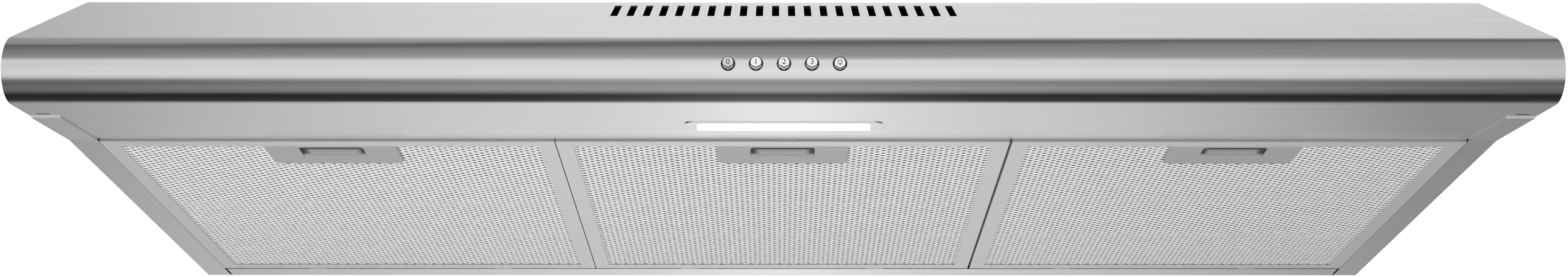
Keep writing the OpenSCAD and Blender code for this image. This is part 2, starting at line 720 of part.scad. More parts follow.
module fan_wheel_right() { fan_wheel(1); }

// wiring
module capacitor() {
  color(white) place() translate([box_hw + 40, bl_y + 20, -sheet - 16]) rotate([90, 0, 0]) {
    cylinder(r = 14, h = 52, center = true);
    cylinder(r = 3, h = 60, center = true);
    translate([-6, 12, -10]) cube([12, 4, 20]);
  }
}
module terminal_box() {
  color(zinc) place() difference() {
    box([term_x, inlet_y - 35, -sheet - 36], [term_x + 90, inlet_y + 35, -sheet]);
    box([term_x + 1, inlet_y - 34, -sheet - 40], [term_x + 89, inlet_y + 34, -sheet - 1]);
    translate([inlet_x, inlet_y, -10]) cylinder(r = inlet_r + 3, h = 12);
  }
}
module terminal_cover() {
  color(zinc) place() difference() {
    box([term_x - 1, inlet_y - 36, -sheet - 37], [term_x + 91, inlet_y + 36, -sheet - 36]);
    for (x = [-1, 1]) translate([term_x + 45 + x * 38, inlet_y, -60]) cylinder(r = 1.7, h = 30);
  }
}
module cable_grommet() {
  color(black) place() translate([inlet_x, inlet_y, 0]) difference() {
    union() {
      translate([0, 0, -sheet - 3]) cylinder(r = inlet_r + 3, h = sheet + 3.5);
      cylinder(r = inlet_r + 6, h = 2);
      translate([0, 0, -sheet - 4]) cylinder(r = inlet_r + 5.5, h = 3);
    }
    translate([0, 0, -10]) cylinder(r = inlet_r, h = 20);
  }
}
module run_to(a, b, r) {
  d = b - a;
  l = norm(d);
  translate(a) rotate([0, acos(d[2] / l), atan2(d[1], d[0])]) cylinder(r = r, h = l);
}
module lead(pts, r) {
  for (k = [0:len(pts) - 2]) run_to(pts[k], pts[k + 1], r);
  for (k = [1:len(pts) - 2]) translate(pts[k]) cube(2 * r + 2, center = true);
}
module internal_wiring() {
  side = duct_hw + 60;
  z0 = -26;
  z1 = lamp_z + lip_h + 20;
  z2 = lamp_z + lip_h + 5;
  y1 = lens_y + 9;
  y2 = switch_y + 14;
  color(black) place() {
    lead([[term_x, inlet_y, z0], [term_x - 20, inlet_y, z0], [term_x - 20, body_d - 20, z0],
      [0, body_d - 20, z0], [0, body_d - 20, axle_z], [0, bl_y + scroll_r + 0.2, axle_z]], 2.5);
    lead([[term_x + 12, inlet_y - 35, z0], [term_x + 12, inlet_y - 50, z0], [side, inlet_y - 50, z0],
      [side, panel_d + 30, z0], [side, panel_d + 30, z1], [side, y2, z1],
      [side, y2, nose_z], [2.5 * button_pitch + 3, y2, nose_z]], 2.5);
    lead([[side, panel_d + 30, z1 - 3], [side, panel_d + 30, z2], [side, y1, z2],
      [side, y1, lamp_z + 9], [156, y1, lamp_z + 9]], 1.8);
    lead([[86, y1, lamp_z + 8], [lens_hw + 5, y1, lamp_z + 8]], 1.8);
  }
}

canopy_shell();
side_panel_left();
side_panel_right();
rear_panel();
brace_left();
brace_right();
rivets();
lamp_bezel();
lamp_lens();
lamp_housing();
led_board();
led_driver();
switch_body();
switch_bracket();
button_0();
button_1();
button_2();
button_3();
button_light();
filter_frame_1();
filter_frame_2();
filter_frame_3();
filter_mesh_1();
filter_mesh_2();
filter_mesh_3();
handle_plate_1();
handle_plate_2();
handle_plate_3();
latch_slide_1();
latch_slide_2();
latch_slide_3();
latch_spring_1();
latch_spring_2();
latch_spring_3();
strike_1();
strike_2();
strike_3();
duct_collar();
damper_front();
damper_rear();
vent_shutter();
shutter_rails();
recirculation_duct();
blower_top();
blower_bottom();
inlet_rings();
blower_screws();
motor_housing();
motor_stator();
motor_rotor();
motor_shaft();
motor_bracket();
fan_wheel_left();
fan_wheel_right();
capacitor();
terminal_box();
terminal_cover();
cable_grommet();
internal_wiring();
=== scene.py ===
"""Looks of the slim under-cabinet range hood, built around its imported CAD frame. Metres, row frame."""
import json
import math
import bpy
import bmesh
import numpy as np
from mathutils import Matrix, Vector


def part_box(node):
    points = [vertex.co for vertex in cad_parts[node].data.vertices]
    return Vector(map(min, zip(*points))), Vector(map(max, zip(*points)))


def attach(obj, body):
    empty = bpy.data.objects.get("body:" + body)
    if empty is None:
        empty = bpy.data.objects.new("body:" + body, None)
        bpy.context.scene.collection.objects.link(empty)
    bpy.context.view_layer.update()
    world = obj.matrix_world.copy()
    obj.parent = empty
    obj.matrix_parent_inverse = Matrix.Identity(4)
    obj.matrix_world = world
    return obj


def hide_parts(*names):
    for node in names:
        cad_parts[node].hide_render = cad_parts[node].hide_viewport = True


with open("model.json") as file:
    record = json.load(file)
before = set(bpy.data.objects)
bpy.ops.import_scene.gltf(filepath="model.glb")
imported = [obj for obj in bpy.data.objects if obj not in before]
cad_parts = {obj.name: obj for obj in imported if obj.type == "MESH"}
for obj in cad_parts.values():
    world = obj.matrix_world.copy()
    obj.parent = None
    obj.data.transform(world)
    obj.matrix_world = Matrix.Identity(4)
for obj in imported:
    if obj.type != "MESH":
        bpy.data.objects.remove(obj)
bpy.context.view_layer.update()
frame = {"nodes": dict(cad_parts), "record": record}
nodes = frame["nodes"]
MM = 0.001


def span(node):
    """Lowest and highest corner of a node as vectors."""
    lo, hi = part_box(node)
    return Vector(lo), Vector(hi)


# ---------------------------------------------------------------- sizes, worked out from the frame
canopy_lo, canopy_hi = span("canopy_shell")
side_lo, side_hi = span("side_panel_right")
SHEET = side_hi.x - canopy_hi.x              # sheet steel
NOSE_Y, WALL_Y = canopy_lo.y, canopy_hi.y    # front of the nose, wall
FRONT_Z = canopy_lo.z                        # lamp panel
INNER_X = canopy_hi.x                        # inner faces of the side panels
NOSE_R = 20 * MM
VISOR_ANGLE = math.radians(22.3)
NOSE_Z = FRONT_Z + NOSE_R
strike_lo, _ = span("strike_2")
PANEL_Y = strike_lo.y                        # rear edge of the lamp panel
LIP = 12 * MM
SLOPE = math.atan((FRONT_Z - SHEET - side_lo.z) / (WALL_Y - PANEL_Y))
VISOR_Y = (NOSE_Y + NOSE_R * (1 - math.sin(VISOR_ANGLE))
           - (NOSE_Z + NOSE_R * math.cos(VISOR_ANGLE)) / math.tan(VISOR_ANGLE))
SLOTS, SLOT_W, SLOT_PITCH, SLOT_L, SLOT_TOP = 22, 4.5 * MM, 10.05 * MM, 46 * MM, 14.5 * MM
mounts = {m["name"]: m["dims"] for m in frame["record"]["mounts"]}
SCREW_X = mounts["cabinet_screws"]["spacing_x_mm"] / 2 * MM
SCREW_Y = mounts["cabinet_screws"]["spacing_y_mm"] / 2 * MM
SCREW_R = mounts["cabinet_screws"]["hole_r_mm"] * MM
COLLAR_BORE = (mounts["duct_collar"]["r_mm"] - 1.2) * MM
GROMMET_HOLE = (mounts["cable_inlet"]["r_mm"] + 3) * MM
lens_lo, lens_hi = span("lamp_lens")
collar_lo, collar_hi = span("duct_collar")
grommet_lo, grommet_hi = span("cable_grommet")
BUTTONS = ["button_0", "button_1", "button_2", "button_3", "button_light"]
BUTTON_R, BUTTON_GAP = 3.5 * MM, 0.7 * MM
FILTER_BODIES = {1: "filter_left", 2: "filter_centre", 3: "filter_right"}
RIVET_R = 1.6 * MM
SKIN = 0.6 * MM                              # sheet of a filter frame
BORDER = 10.5 * MM
FILTER_T = 9 * MM
FILTER_GAP = 2.8 * MM


# ---------------------------------------------------------------- materials
def node_tree(material):
    material.use_nodes = True
    tree = material.node_tree
    return tree, tree.nodes["Principled BSDF"], tree.nodes, tree.links


def math_node(tree, operation, a, b=None):
    """A math node; a and b are sockets or numbers."""
    n = tree.nodes.new("ShaderNodeMath")
    n.operation = operation
    for i, v in enumerate([a, b]):
        if v is None:
            continue
        if isinstance(v, (int, float)):
            n.inputs[i].default_value = v
        else:
            tree.links.new(v, n.inputs[i])
    return n.outputs[0]


def noise(tree, scale, detail=3.0, roughness=0.6, stretch=(1, 1, 1)):
    """Noise over the row frame's coordinates, stretched along chosen axes."""
    place = tree.nodes.new("ShaderNodeTexCoord")
    mapping = tree.nodes.new("ShaderNodeMapping")
    mapping.inputs["Scale"].default_value = stretch
    tree.links.new(place.outputs["Object"], mapping.inputs["Vector"])
    n = tree.nodes.new("ShaderNodeTexNoise")
    n.inputs["Scale"].default_value = scale
    n.inputs["Detail"].default_value = detail
    n.inputs["Roughness"].default_value = roughness
    tree.links.new(mapping.outputs["Vector"], n.inputs["Vector"])
    return n.outputs["Fac"]


def spread(tree, fac, low, high, from_low=0.3, from_high=0.7):
    n = tree.nodes.new("ShaderNodeMapRange")
    tree.links.new(fac, n.inputs["Value"])
    for name, v in (("From Min", from_low), ("From Max", from_high), ("To Min", low), ("To Max", high)):
        n.inputs[name].default_value = v
    return n.outputs["Result"]


def scaled_colour(tree, colour, level):
    """A colour, or the socket that carries one, times a level."""
    n = tree.nodes.new("ShaderNodeVectorMath")
    n.operation = "SCALE"
    if isinstance(colour, tuple):
        n.inputs[0].default_value = colour
    else:
        tree.links.new(colour, n.inputs[0])
    tree.links.new(level, n.inputs["Scale"])
    return n.outputs[0]


def finish_of(name, base, metallic, rough, vary=0.04, rough_vary=0.05, scale=60.0, stretch=(1, 1, 1),
              bump=0.02, bump_distance=0.0002, anisotropic=0.0, detail=3.0, fine=None):
    """A finish whose colour, roughness and relief vary with procedural noise."""
    m = bpy.data.materials.new(name)
    tree, bsdf, _, links = node_tree(m)
    grain = noise(tree, scale, detail, stretch=stretch)
    level = spread(tree, grain, 1 - vary, 1 + vary)
    if fine:
        small = noise(tree, fine, 2.0, stretch=stretch)
        level = math_node(tree, "MULTIPLY", level, spread(tree, small, 1 - vary * 0.6, 1 + vary * 0.6))
    links.new(scaled_colour(tree, base, level), bsdf.inputs["Base Color"])
    links.new(spread(tree, grain, rough - rough_vary, rough + rough_vary), bsdf.inputs["Roughness"])
    bsdf.inputs["Metallic"].default_value = metallic
    bsdf.inputs["Anisotropic"].default_value = anisotropic
    if bump:
        b = tree.nodes.new("ShaderNodeBump")
        b.inputs["Strength"].default_value = bump
        b.inputs["Distance"].default_value = bump_distance
        links.new(grain, b.inputs["Height"])
        links.new(b.outputs["Normal"], bsdf.inputs["Normal"])
    return m


def darken_by(material, attribute, most):
    """Paints shade onto a finish: darkens its colour and dulls its sheen where a mesh attribute rises from 0 to 1."""
    tree, bsdf = material.node_tree, material.node_tree.nodes["Principled BSDF"]
    shade = tree.nodes.new("ShaderNodeAttribute")
    shade.attribute_name = attribute
    left = math_node(tree, "SUBTRACT", 1.0, math_node(tree, "MULTIPLY", shade.outputs["Fac"], most))
    plain = bsdf.inputs["Base Color"].links[0].from_socket
    tree.links.new(scaled_colour(tree, plain, left), bsdf.inputs["Base Color"])
    tree.links.new(left, bsdf.inputs["Specular IOR Level"])


def brushed(name, along, base=(0.82, 0.82, 0.82), rough=0.20):
    """Stainless steel brushed along one axis: fine lines, with broader uneven streaks in the polish."""
    m = bpy.data.materials.new(name)
    tree, bsdf, _, links = node_tree(m)
    lines = lambda long, across: tuple(long if axis == along else across for axis in "xyz")
    fine = noise(tree, 1.0, 4.0, stretch=lines(3.0, 1400.0))
    broad = noise(tree, 1.0, 3.0, stretch=lines(4.0, 260.0))
    level = math_node(tree, "MULTIPLY", spread(tree, fine, 0.965, 1.035), spread(tree, broad, 0.955, 1.045))
    links.new(scaled_colour(tree, base, level), bsdf.inputs["Base Color"])
    links.new(spread(tree, broad, rough - 0.03, rough + 0.04), bsdf.inputs["Roughness"])
    bsdf.inputs["Metallic"].default_value = 1.0
    relief = tree.nodes.new("ShaderNodeBump")
    relief.inputs["Strength"].default_value = 0.06
    relief.inputs["Distance"].default_value = 0.00008
    links.new(broad, relief.inputs["Height"])
    links.new(relief.outputs["Normal"], bsdf.inputs["Normal"])
    return m


STEEL = brushed("brushed_steel", "x")
STEEL_SIDE = brushed("brushed_steel_side", "y")
FRAME_ALU = finish_of("filter_frame_aluminium", (0.86, 0.87, 0.88), 0.7, 0.40, 0.03, 0.04, 1.0, (40, 900, 900), 0.05)
MESH_ALU = finish_of("expanded_mesh", (0.95, 0.95, 0.95), 0.35, 0.34, 0.05, 0.06, 180.0, bump=0.1)
# painted shade: a darker copy of the mesh finish for the deeper lower lattice, standing in for the shade deeper in
# the pad
MESH_DEEP_PAINTED_SHADE = finish_of("expanded_mesh_deep_painted_shade", (0.30, 0.30, 0.30), 0.45, 0.4, 0.1, 0.06, 180.0, bump=0.1)
# painted shade: a near-black core behind the lattices, standing in for the shade seen through the mesh gaps
CORE_PAINTED_SHADE = finish_of("mesh_core_painted_shade", (0.08, 0.08, 0.08), 0.2, 0.6, 0.2, 0.1, 500.0, bump=0.4, bump_distance=0.0006)
HANDLE = finish_of("handle_satin", (0.43, 0.43, 0.43), 0.35, 0.5, 0.04, 0.05, 300.0, bump=0.08)
# painted shade: a copy of the handle finish whose colour is darkened by a mesh attribute, standing in for the shadow
# in the finger pull's recess
PAINTED_RECESS = finish_of("handle_recess_with_painted_shade", (0.43, 0.43, 0.43), 0.35, 0.5, 0.04, 0.05, 300.0, bump=0.08)
darken_by(PAINTED_RECESS, "painted_recess_shade", 0.86)
CAP = finish_of("button_satin", (0.92, 0.92, 0.92), 0.5, 0.34, 0.03, 0.05, 600.0, bump=0.05)
# painted shade: near-black rim for the button caps, standing in for the shaded cap side and the shadow in the hole
# around it
CAP_RIM_PAINTED_SHADE = finish_of("button_rim_painted_shade", (0.10, 0.10, 0.10), 0.4, 0.35, 0.05, 0.05, 600.0, bump=0.05)
CAP_OFF = finish_of("button_satin_off", (0.68, 0.68, 0.68), 0.5, 0.34, 0.03, 0.05, 600.0, bump=0.05)
LEGEND = finish_of("legend_grey", (0.05, 0.05, 0.05), 0.0, 0.5, 0.1, 0.05, 900.0, bump=0.0)
# painted shade: the duct, vent shutter and shutter rails are near black so that the vent slots read dark, standing in
# for the shade inside the hood
DUCT_PAINTED_SHADE = finish_of("painted_shade_sheet", (0.012, 0.012, 0.013), 0.3, 0.6, 0.2, 0.08, 120.0, bump=0.05)
GALVANISED = finish_of("galvanised_sheet", (0.62, 0.64, 0.66), 0.9, 0.38, 0.16, 0.1, 45.0, bump=0.05, fine=260.0)
ZINC = finish_of("zinc_plated", (0.66, 0.67, 0.68), 1.0, 0.30, 0.06, 0.06, 220.0, bump=0.05)
SPRING = finish_of("spring_steel", (0.42, 0.43, 0.45), 1.0, 0.28, 0.06, 0.05, 400.0, bump=0.05)
BLACK = finish_of("black_plastic", (0.025, 0.025, 0.027), 0.0, 0.42, 0.15, 0.06, 700.0, bump=0.15)
RUBBER = finish_of("rubber", (0.02, 0.02, 0.02), 0.0, 0.7, 0.2, 0.05, 500.0, bump=0.2)
WIRE = finish_of("cable_sheath", (0.04, 0.04, 0.045), 0.0, 0.48, 0.15, 0.05, 300.0, bump=0.1)
WHITE = finish_of("white_plastic", (0.78, 0.78, 0.75), 0.0, 0.4, 0.03, 0.05, 500.0, bump=0.08)
COPPER = finish_of("copper_winding", (0.55, 0.25, 0.12), 0.9, 0.35, 0.2, 0.08, 1.0, (900, 60, 900), 0.4)
ROTOR = finish_of("rotor_steel", (0.40, 0.40, 0.42), 1.0, 0.4, 0.1, 0.08, 1.0, (900, 20, 20), 0.2)


def lens_material():
    m = bpy.data.materials.new("lit_diffuser")
    tree, bsdf, _, links = node_tree(m)
    bsdf.inputs["Base Color"].default_value = (0.95, 0.95, 0.94, 1)
    bsdf.inputs["Roughness"].default_value = 0.35
    glow = spread(tree, noise(tree, 60.0, 2.0), 0.97, 1.03)
    bsdf.inputs["Emission Color"].default_value = (1.0, 1.0, 0.995, 1)
    links.new(glow, bsdf.inputs["Emission Strength"])
    return m


LENS = lens_material()


def paint(obj, material):
    obj.data.materials.clear()
    obj.data.materials.append(material)


# ---------------------------------------------------------------- mesh helpers
def add_object(name, verts, faces, material, smooth=None):
    me = bpy.data.meshes.new(name)
    me.from_pydata([tuple(v) for v in verts], [], [tuple(f) for f in faces])
    me.update()
    obj = bpy.data.objects.new(name, me)
    bpy.context.scene.collection.objects.link(obj)
    if material:
        paint(obj, material)
    if smooth:
        me.shade_smooth()
        me.set_sharp_from_angle(angle=math.radians(smooth))
    return obj


def prism(profile, lo, hi, axis):
    """Closed prism of a 2-D outline along an axis: outline (y, z) along x, (x, z) along y, (x, y) along z."""
    n = len(profile)
    put = {"x": lambda p, t: (t, p[0], p[1]),
           "y": lambda p, t: (p[0], t, p[1]),
           "z": lambda p, t: (p[0], p[1], t)}[axis]
    verts = [put(p, lo) for p in profile] + [put(p, hi) for p in profile]
    faces = [tuple(range(n - 1, -1, -1)), tuple(range(n, 2 * n))]
    faces += [(i, (i + 1) % n, n + (i + 1) % n, n + i) for i in range(n)]
    return verts, faces


def circle(r, n, cx=0.0, cy=0.0, start=0.0):
    return [(cx + r * math.cos(start + 2 * math.pi * k / n), cy + r * math.sin(start + 2 * math.pi * k / n))
            for k in range(n)]


def joined(parts):
    """Several (verts, faces) as one."""
    verts, faces = [], []
    for v, f in parts:
        base = len(verts)
        verts += list(v)
        faces += [tuple(i + base for i in face) for face in f]
    return verts, faces


def outward(obj):
    bm = bmesh.new()
    bm.from_mesh(obj.data)
    bmesh.ops.recalc_face_normals(bm, faces=bm.faces)
    bm.to_mesh(obj.data)
    bm.free()


def apply_modifiers(obj):
    bpy.context.view_layer.update()
    graph = bpy.context.evaluated_depsgraph_get()
    me = bpy.data.meshes.new_from_object(obj.evaluated_get(graph))
    obj.modifiers.clear()
    old = obj.data
    obj.data = me
    bpy.data.meshes.remove(old)


def bevel(obj, width, segments=2, angle=40):
    b = obj.modifiers.new("edge", "BEVEL")
    b.width = width
    b.segments = segments
    b.limit_method = "ANGLE"
    b.angle_limit = math.radians(angle)
    b.harden_normals = False
    return b


def rounded_path(corners):
    """Polyline through (y, z, radius) corners, each turned with an arc of that radius."""
    out = [Vector(corners[0][:2])]
    for k in range(1, len(corners) - 1):
        p = Vector(corners[k][:2])
        r = corners[k][2]
        if r == 0:
            out.append(p)
            continue
        a = (Vector(corners[k - 1][:2]) - p).normalized()
        b = (Vector(corners[k + 1][:2]) - p).normalized()
        half = a.angle(b) / 2
        reach = r / math.tan(half)
        centre = p + (a + b).normalized() * (r / math.sin(half))
        t0, t1 = p + a * reach - centre, p + b * reach - centre
        turn = t0.angle(t1)
        sign = 1 if t0.x * t1.y - t0.y * t1.x > 0 else -1
        steps = max(3, math.ceil(turn / math.radians(3 if r > 5 * MM else 15)))
        a0 = math.atan2(t0.y, t0.x)
        angles = [a0 + sign * turn * i / steps for i in range(steps + 1)]
        out += [centre + r * Vector((math.cos(a), math.sin(a))) for a in angles]
    out.append(Vector(corners[-1][:2]))
    return out


# ---------------------------------------------------------------- canopy: one folded sheet
def build_canopy():
    ca, sa = math.cos(VISOR_ANGLE), math.sin(VISOR_ANGLE)
    down = lambda d: (VISOR_Y - d * ca, -d * sa)
    tip_y = VISOR_Y + FRONT_Z / math.tan(VISOR_ANGLE)
    lamp0, lamp1 = lens_lo.y - 2 * MM, lens_hi.y + 2 * MM
    path = rounded_path([
        (WALL_Y, 0, 0), (VISOR_Y, 0, 3 * MM), (*down(SLOT_TOP), 0), (*down(SLOT_TOP + SLOT_L), 0),
        (tip_y, FRONT_Z, NOSE_R), (lamp0, FRONT_Z, 0), (lamp1, FRONT_Z, 0), (PANEL_Y, FRONT_Z, 1 * MM),
        (PANEL_Y, FRONT_Z + LIP, 0)])
    slots = [((k - (SLOTS - 1) / 2) * SLOT_PITCH - SLOT_W / 2, (k - (SLOTS - 1) / 2) * SLOT_PITCH + SLOT_W / 2)
             for k in range(SLOTS)]
    lamp_x = lens_hi.x + 3 * MM
    xs = sorted({-INNER_X, INNER_X, -lamp_x, lamp_x, *[x for s in slots for x in s]})
    xs = sorted(set(xs) | set(np.round(np.linspace(-INNER_X, INNER_X, 13), 6)[1:-1]))
    inside = lambda a, b, v: a - 1e-7 <= v <= b + 1e-7
    slot_top, slot_low = down(SLOT_TOP), down(SLOT_TOP + SLOT_L)
    verts = [(x, p.x, p.y) for p in path for x in xs]
    faces = []
    for j in range(len(path) - 1):
        my, mz = (path[j] + path[j + 1]) / 2
        on_slots = mz > FRONT_Z / 2 and slot_low[0] < my < slot_top[0]
        on_lamp = abs(mz - FRONT_Z) < 1e-6 and lamp0 < my < lamp1
        for i in range(len(xs) - 1):
            mx = (xs[i] + xs[i + 1]) / 2
            if on_slots and any(inside(a, b, mx) for a, b in slots):
                continue
            if on_lamp and abs(mx) < lamp_x:
                continue
            a = j * len(xs) + i
            faces.append((a, a + 1, a + len(xs) + 1, a + len(xs)))
    shell = add_object("canopy_sheet", verts, faces, STEEL)
    # normals face out of the hood: the first strip is the flat top
    if shell.data.polygons[0].normal.z < 0:
        shell.data.flip_normals()
    thick = shell.modifiers.new("sheet", "SOLIDIFY")
    thick.thickness = SHEET
    thick.offset = -1
    thick.use_even_offset = True
    apply_modifiers(shell)

    cutters = []
    for name in BUTTONS:
        lo, hi = span(name)
        ring = circle(BUTTON_R + BUTTON_GAP, 40, (lo.x + hi.x) / 2, NOSE_Z)
        cutters.append(prism(ring, NOSE_Y - 2 * MM, NOSE_Y + 5 * MM, "y"))
    hole = lambda x, y, r, n: cutters.append(prism(circle(r, n, x, y), -3 * MM, 3 * MM, "z"))
    hole((collar_lo.x + collar_hi.x) / 2, (collar_lo.y + collar_hi.y) / 2, COLLAR_BORE, 96)
    hole((grommet_lo.x + grommet_hi.x) / 2, (grommet_lo.y + grommet_hi.y) / 2, GROMMET_HOLE, 40)
    for sx in (-1, 1):
        for sy in (-1, 1):
            hole(sx * SCREW_X, sy * SCREW_Y, SCREW_R, 32)
    for s in (-1, 1):
        for k in range(4):
            hole(s * (INNER_X - 7 * MM), VISOR_Y + 30 * MM + k * (WALL_Y - VISOR_Y - 60 * MM) / 3, RIVET_R, 24)
        # locating notch just in front of each side flange
        y = NOSE_Y + 56 * MM
        x = s * (INNER_X - 9 * MM)
        square = [(x - 4 * MM, y - 9 * MM), (x + 4 * MM, y - 9 * MM),
                  (x + 4 * MM, y - 7 * MM), (x - 4 * MM, y - 7 * MM)]
        cutters.append(prism(square, FRONT_Z - 2 * MM, FRONT_Z + 2 * MM, "z"))
    for k in (-2, -1, 1, 2):
        hole(k * INNER_X / 3, WALL_Y - SHEET - 7 * MM, RIVET_R, 24)
    cutter = add_object("cutter", *joined(cutters), None)
    outward(cutter)
    outward(shell)
    cut = shell.modifiers.new("holes", "BOOLEAN")
    cut.operation = "DIFFERENCE"
    cut.solver = "EXACT"
    cut.object = cutter
    apply_modifiers(shell)
    bpy.data.objects.remove(cutter, do_unlink=True)

    me = shell.data
    me.shade_smooth()
    me.set_sharp_from_angle(angle=math.radians(25))
    # true normals on the nose's round
    normals = [Vector(c.vector) for c in me.corner_normals]
    centre = Vector((NOSE_Y + NOSE_R, NOSE_Z))
    for poly in me.polygons:
        for li in poly.loop_indices:
            co = me.vertices[me.loops[li].vertex_index].co
            out = Vector((0, co.y - centre.x, co.z - centre.y))
            near_round = abs(out.length - NOSE_R) < 2e-5 or abs(out.length - NOSE_R + SHEET) < 2e-5
            if near_round and abs(poly.normal.dot(out.normalized())) > 0.98:
                normals[li] = out.normalized() * (1 if poly.normal.dot(out) > 0 else -1)
    me.normals_split_custom_set([tuple(n) for n in normals])
    paint(shell, STEEL)
    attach(shell, "hood")
    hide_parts("canopy_shell")
    return shell


build_canopy()


# ---------------------------------------------------------------- filters
def filter_matrix(i):
    """Row-frame place of a filter's front lower edge: x across, y along the slope, z up through it."""
    lo, hi = span(f"filter_frame_{i}")
    return (Matrix.Translation(((lo.x + hi.x) / 2, PANEL_Y, FRONT_Z)) @ Matrix.Rotation(-SLOPE, 4, "X")
            @ Matrix.Translation((0, FILTER_GAP, -SHEET)))


def filter_size():
    lo, hi = span("filter_frame_1")
    inverse = filter_matrix(1).inverted()
    length = (inverse @ Vector((0, WALL_Y, side_lo.z + SHEET))).y - 20 * MM - 2 * MM
    return hi.x - lo.x, length


FILTER_W, FILTER_L = filter_size()


def lattice(width, y0, y1, z, cell_x, cell_y, strand_w, strand_t, tilt, keep_out=None):
    """Expanded-metal layer: zigzag strands whose peaks meet, as closed three-sided ribbons.
    keep_out is (half width, depth) of the corner-free area left for the handle plate."""
    step = cell_x / 2
    columns = int(width / step)
    rows = int((y1 - y0) / (cell_y / 2))
    x = (np.arange(columns + 1) - columns / 2) * step
    verts, quads, caps = [], [], []
    count = 0
    section = np.array([[-strand_w / 2, -tilt], [strand_w / 2, tilt], [0.0, strand_t]])
    for r in range(rows + 1):
        zig = np.where((np.arange(columns + 1) + r) % 2 == 0, 1.0, -1.0)
        y = y0 + r * cell_y / 2 + zig * (cell_y / 4 - strand_w * 0.18)
        points = np.stack([x, y], axis=1)
        ok = (y > y0 - 1e-4) & (y < y1 + 1e-4)
        if keep_out:
            ok &= ~((np.abs(x) < keep_out[0]) & (y < y0 + keep_out[1]))
        runs = np.split(np.arange(len(x)), np.where(np.diff(ok.astype(int)) != 0)[0] + 1)
        for run in runs:
            if len(run) < 2 or not ok[run[0]]:
                continue
            p = points[run]
            ring = np.zeros((len(p), 3, 3))
            ring[:, :, 0] = p[:, None, 0]
            ring[:, :, 1] = p[:, None, 1] + section[None, :, 0]
            ring[:, :, 2] = z + section[None, :, 1]
            verts.append(ring.reshape(-1, 3))
            k = np.arange(len(p) - 1)[:, None] * 3 + count
            for a in range(3):
                b = (a + 1) % 3
                quads.append(np.concatenate([k + a, k + b, k + 3 + b, k + 3 + a], axis=1))
            count += len(p) * 3
            first = count - len(p) * 3
            caps += [(first + 2, first + 1, first), (count - 3, count - 2, count - 1)]
    return np.concatenate(verts), np.concatenate(quads).tolist() + caps


def build_pad_mesh():
    """Filter pad: two lattices of slightly different pitch below, one above, round a core whose near-black colour is
    painted shade; the deeper lower lattice is a darker painted-shade copy of the mesh finish.
    """
    y0, y1 = BORDER - 3 * MM, FILTER_L - BORDER + 3 * MM
    wide = FILTER_W - 2 * BORDER + 6 * MM
    plate_lo, plate_hi = span("handle_plate_1")
    hole = ((plate_hi.x - plate_lo.x) / 2 - 4 * MM, 38 * MM)
    layers = [
        lattice(wide, y0, y1, SKIN + 0.45 * MM, 7.4 * MM, 5.4 * MM, 1.45 * MM, 0.7 * MM, -0.16 * MM, keep_out=hole),
        lattice(wide, y0, y1, SKIN + 1.9 * MM, 7.4 * MM, 4.8 * MM, 1.6 * MM, 0.7 * MM, -0.16 * MM, keep_out=hole),
        lattice(wide, y0, y1, FILTER_T - SKIN - 1.4 * MM, 7.4 * MM, 5.4 * MM, 1.5 * MM, 0.7 * MM, 0.2 * MM),
    ]
    verts = np.concatenate([v for v, _ in layers])
    faces, kinds, base = [], [], 0
    for k, (v, f) in enumerate(layers):
        faces += [tuple(i + base for i in face) for face in f]
        # the deeper lower lattice takes the darker painted-shade copy of the mesh finish
        kinds += [1 if k == 1 else 0] * len(f)
        base += len(v)
    me = bpy.data.meshes.new("pad_lattice")
    me.from_pydata(verts.tolist(), [], faces)
    me.materials.append(MESH_ALU)
    me.materials.append(MESH_DEEP_PAINTED_SHADE)
    me.polygons.foreach_set("material_index", kinds)
    me.update()
    return me


def build_filters():
    pad_mesh = build_pad_mesh()
    for i, body in FILTER_BODIES.items():
        place = filter_matrix(i)
        pad = bpy.data.objects.new(f"filter_pad_{i}", pad_mesh)
        pad.matrix_world = place
        bpy.context.scene.collection.objects.link(pad)
        w = FILTER_W / 2 - SKIN - 1 * MM
        pocket = 26 * MM
        deep = BORDER + 19 * MM + 17 * MM
        lo_z, hi_z = SKIN + 3.3 * MM, FILTER_T - SKIN - 2.2 * MM
        y0, y1 = 1.5 * MM, FILTER_L - 1.5 * MM
        outline = [(-w, y0), (-pocket, y0), (-pocket, deep), (pocket, deep), (pocket, y0), (w, y0), (w, y1), (-w, y1)]
        # painted shade: the core block is near black, standing in for the shade seen through the mesh gaps
        core = add_object(f"filter_core_{i}", *prism(outline, lo_z, hi_z, "z"), CORE_PAINTED_SHADE)
        outward(core)
        core.matrix_world = place
        for piece in (pad, core):
            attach(piece, body)
        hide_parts(f"filter_mesh_{i}")
        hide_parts(f"filter_mesh_{i}")


build_filters()


def ease(t):
    """Smooth step from 0 to 1."""
    u = min(max(t, 0.0), 1.0)
    return u * u * (3 - 2 * u)


